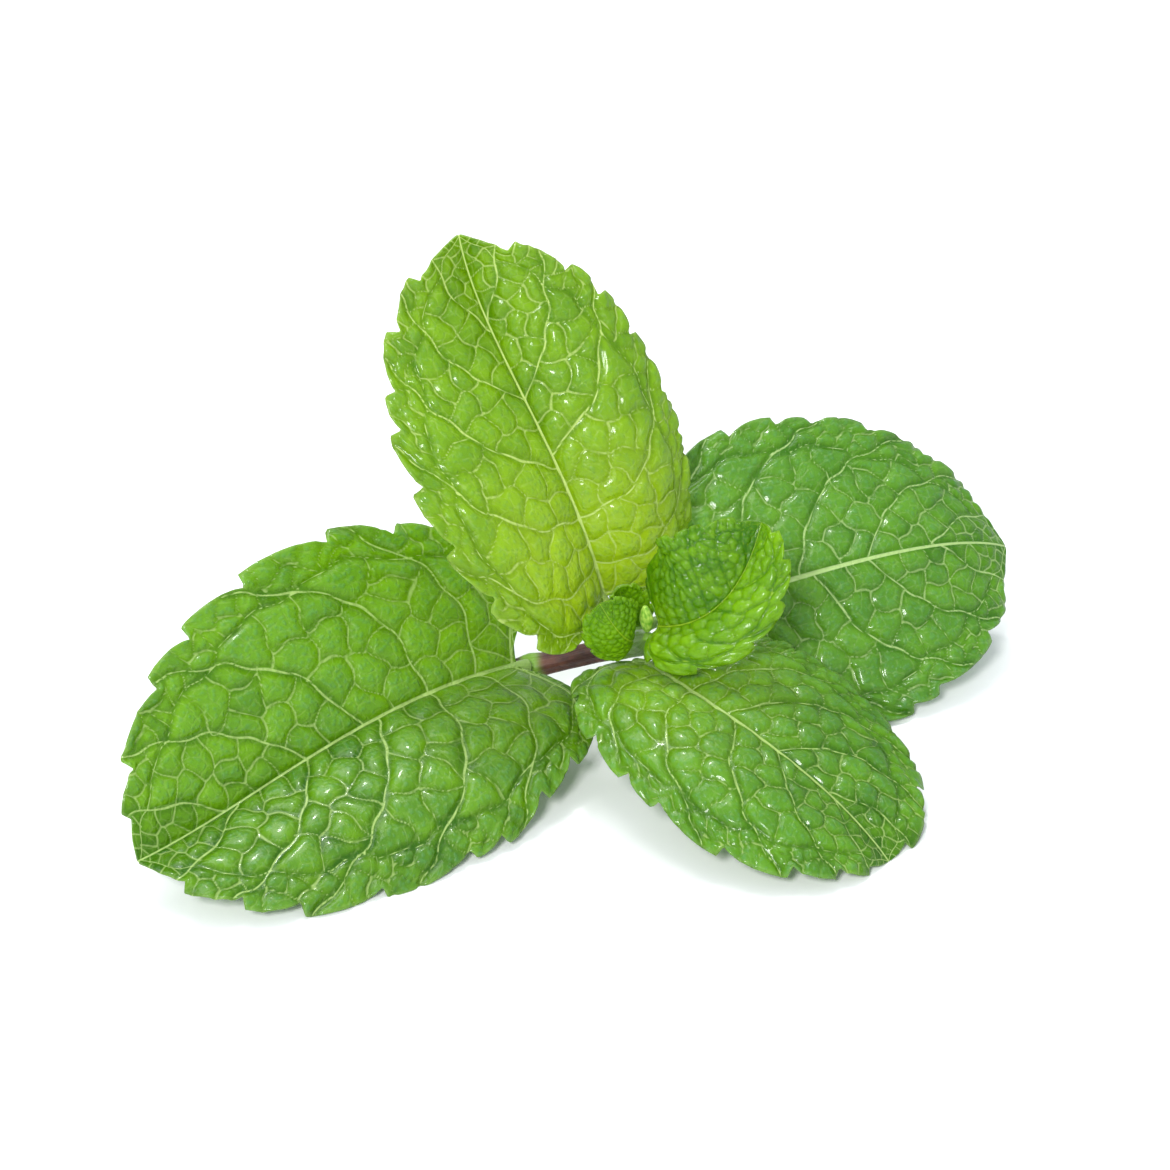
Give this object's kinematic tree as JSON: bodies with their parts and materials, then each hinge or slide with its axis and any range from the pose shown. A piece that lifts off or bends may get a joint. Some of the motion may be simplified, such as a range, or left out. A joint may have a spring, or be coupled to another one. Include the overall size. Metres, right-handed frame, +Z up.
{
  "type": "spearmint sprig",
  "caption": "Cut sprig of spearmint lying down: thin toothed, puckered leaves round a square stem, with young leaves cupped round its growing tip.",
  "frame": {"origin": "middle of the sprig's bounding box, on the surface that it lies on", "axes": "+Z up out of the surface; +X along the sprig from the lower leaf to the back leaf; -Y towards the side that the picture was taken from"},
  "size_m": [0.0974, 0.0662, 0.0554],
  "materials": {
    "stem": "purple-brown, fine grooved, slightly glossy fresh stem",
    "tip_bud": "pale fresh green, soft satin",
    "leaf_lower": "deep fresh green, puckered, waxy satin with paler veins",
    "leaf_top": "yellow-green, puckered, waxy satin with paler veins",
    "leaf_back": "soft grey-green, puckered, waxy satin with paler veins",
    "leaf_front": "fresh green, puckered, waxy satin with paler veins",
    "young_leaf": "bright young green, finely puckered, waxy satin"
  },
  "bodies": {
    "root": {"stem": "stem", "tip_bud": "tip_bud", "leaf_lower": "leaf_lower", "leaf_top": "leaf_top", "leaf_back": "leaf_back", "leaf_front": "leaf_front", "young_leaf_right": "young_leaf", "young_leaf_left": "young_leaf", "young_leaf_inner": "young_leaf"}
  },
  "joints": []
}
